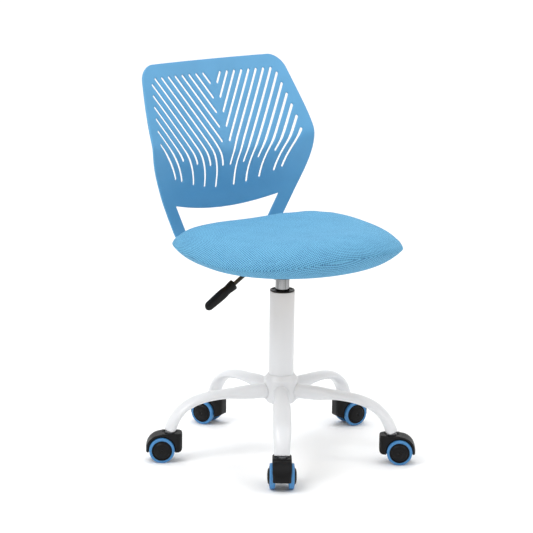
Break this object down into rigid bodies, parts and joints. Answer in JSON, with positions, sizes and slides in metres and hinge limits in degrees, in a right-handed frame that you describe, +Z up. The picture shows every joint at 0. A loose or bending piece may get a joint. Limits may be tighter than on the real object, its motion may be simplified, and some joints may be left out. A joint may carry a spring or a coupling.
{
  "type": "swivel office chair",
  "caption": "Height-adjustable swivel task chair: padded mesh seat, slotted moulded back, steel star base on twin-wheel casters.",
  "frame": {"origin": "on the floor, under the middle of the chair's bounding box", "axes": "+Z up, the sitter faces -Y, the height lever is at -X, the sitter's right"},
  "size_m": [0.5302, 0.5082, 0.756],
  "materials": {
    "white_steel": "white powder coat, satin",
    "black_nylon": "moulded, fine grain",
    "blue_tread": "soft polyurethane, satin",
    "blue_back": "moulded polypropylene, fine grain, low sheen",
    "blue_mesh": "spacer mesh over foam",
    "bright_steel": "chrome plated, polished",
    "zinc_steel": "zinc plated",
    "black_steel": "black powder coat",
    "plywood": "birch plywood, unfinished",
    "black_acetal": "moulded acetal"
  },
  "bodies": {
    "base": {"base_hub": "white_steel", "leg_1": "white_steel", "leg_2": "white_steel", "leg_3": "white_steel", "leg_4": "white_steel", "leg_5": "white_steel", "column_tube": "white_steel", "guide_bush": "black_acetal", "thrust_bearing": "zinc_steel", "caster_stem_1": "zinc_steel", "caster_stem_2": "zinc_steel", "caster_stem_3": "zinc_steel", "caster_stem_4": "zinc_steel", "caster_stem_5": "zinc_steel"},
    "rod": {"piston_rod": "bright_steel", "rod_clip": "zinc_steel"},
    "seat": {"gas_cylinder": "bright_steel", "seat_plate": "black_steel", "seat_board": "plywood", "plate_bolt_1": "zinc_steel", "plate_bolt_2": "zinc_steel", "plate_bolt_3": "zinc_steel", "plate_bolt_4": "zinc_steel", "back_screw_1": "zinc_steel", "back_screw_2": "zinc_steel", "seat_cushion": "blue_mesh", "backrest": "blue_back"},
    "lever": {"lever_rod": "black_steel", "lever_grip": "black_nylon"},
    "button": {"release_button": "zinc_steel"},
    "caster_1": {"caster_housing_1": "black_nylon", "caster_axle_1": "zinc_steel"},
    "wheel_1_left": {"wheel_1_left": "black_nylon", "tread_1_left": "blue_tread"},
    "wheel_1_right": {"wheel_1_right": "black_nylon", "tread_1_right": "blue_tread"},
    "caster_2": {"caster_housing_2": "black_nylon", "caster_axle_2": "zinc_steel"},
    "wheel_2_left": {"wheel_2_left": "black_nylon", "tread_2_left": "blue_tread"},
    "wheel_2_right": {"wheel_2_right": "black_nylon", "tread_2_right": "blue_tread"},
    "caster_3": {"caster_housing_3": "black_nylon", "caster_axle_3": "zinc_steel"},
    "wheel_3_left": {"wheel_3_left": "black_nylon", "tread_3_left": "blue_tread"},
    "wheel_3_right": {"wheel_3_right": "black_nylon", "tread_3_right": "blue_tread"},
    "caster_4": {"caster_housing_4": "black_nylon", "caster_axle_4": "zinc_steel"},
    "wheel_4_left": {"wheel_4_left": "black_nylon", "tread_4_left": "blue_tread"},
    "wheel_4_right": {"wheel_4_right": "black_nylon", "tread_4_right": "blue_tread"},
    "caster_5": {"caster_housing_5": "black_nylon", "caster_axle_5": "zinc_steel"},
    "wheel_5_left": {"wheel_5_left": "black_nylon", "tread_5_left": "blue_tread"},
    "wheel_5_right": {"wheel_5_right": "black_nylon", "tread_5_right": "blue_tread"}
  },
  "joints": [
    {"name": "seat_swivel", "type": "hinge", "parent": "base", "child": "rod", "pos_m": [-0.0009, -0.02291, 0.101], "axis": [0, 0, 1], "continuous": true},
    {"name": "seat_height", "type": "slide", "parent": "rod", "child": "seat", "axis": [0, 0, 1], "range_m": [-0.02, 0.1]},
    {"name": "lever_lift", "type": "hinge", "parent": "seat", "child": "lever", "pos_m": [-0.0289, -0.02291, 0.378], "axis": [0, 1, 0], "range_deg": [0, 7], "stiffness_Nm_per_rad": 3, "springref_deg": -3.44},
    {"name": "button_press", "type": "slide", "parent": "seat", "child": "button", "axis": [0, 0, -1], "range_m": [0, 0.004], "stiffness_N_per_m": 900, "springref_m": -0.001},
    {"name": "caster_swivel_1", "type": "hinge", "parent": "base", "child": "caster_1", "pos_m": [-0.1355, -0.20817, 0.056], "axis": [0, 0, 1], "continuous": true},
    {"name": "wheel_spin_1_left", "type": "hinge", "parent": "caster_1", "child": "wheel_1_left", "pos_m": [-0.14491, -0.22112, 0.025], "axis": [0.809, -0.5878, 0], "continuous": true},
    {"name": "wheel_spin_1_right", "type": "hinge", "parent": "caster_1", "child": "wheel_1_right", "pos_m": [-0.14491, -0.22112, 0.025], "axis": [0.809, -0.5878, 0], "continuous": true},
    {"name": "caster_swivel_2", "type": "hinge", "parent": "base", "child": "caster_2", "pos_m": [0.1337, -0.20817, 0.056], "axis": [0, 0, 1], "continuous": true},
    {"name": "wheel_spin_2_left", "type": "hinge", "parent": "caster_2", "child": "wheel_2_left", "pos_m": [0.14631, -0.21802, 0.025], "axis": [0.6157, 0.788, 0], "continuous": true},
    {"name": "wheel_spin_2_right", "type": "hinge", "parent": "caster_2", "child": "wheel_2_right", "pos_m": [0.14631, -0.21802, 0.025], "axis": [0.6157, 0.788, 0], "continuous": true},
    {"name": "caster_swivel_3", "type": "hinge", "parent": "base", "child": "caster_3", "pos_m": [0.21689, 0.04786, 0.056], "axis": [0, 0, 1], "continuous": true},
    {"name": "wheel_spin_3_left", "type": "hinge", "parent": "caster_3", "child": "wheel_3_left", "pos_m": [0.23278, 0.04591, 0.025], "axis": [0.1219, 0.9925, 0], "continuous": true},
    {"name": "wheel_spin_3_right", "type": "hinge", "parent": "caster_3", "child": "wheel_3_right", "pos_m": [0.23278, 0.04591, 0.025], "axis": [0.1219, 0.9925, 0], "continuous": true},
    {"name": "caster_swivel_4", "type": "hinge", "parent": "base", "child": "caster_4", "pos_m": [-0.0009, 0.20609, 0.056], "axis": [0, 0, 1], "continuous": true},
    {"name": "wheel_spin_4_left", "type": "hinge", "parent": "caster_4", "child": "wheel_4_left", "pos_m": [-0.00766, 0.22059, 0.025], "axis": [-0.9063, -0.4226, 0], "continuous": true},
    {"name": "wheel_spin_4_right", "type": "hinge", "parent": "caster_4", "child": "wheel_4_right", "pos_m": [-0.00766, 0.22059, 0.025], "axis": [-0.9063, -0.4226, 0], "continuous": true},
    {"name": "caster_swivel_5", "type": "hinge", "parent": "base", "child": "caster_5", "pos_m": [-0.21869, 0.04786, 0.056], "axis": [0, 0, 1], "continuous": true},
    {"name": "wheel_spin_5_left", "type": "hinge", "parent": "caster_5", "child": "wheel_5_left", "pos_m": [-0.23195, 0.05681, 0.025], "axis": [-0.5592, -0.829, 0], "continuous": true},
    {"name": "wheel_spin_5_right", "type": "hinge", "parent": "caster_5", "child": "wheel_5_right", "pos_m": [-0.23195, 0.05681, 0.025], "axis": [-0.5592, -0.829, 0], "continuous": true}
  ],
  "couplings": [
    {"joint": "button_press", "follows": "lever_lift", "m_per_rad": 0.0305}
  ]
}
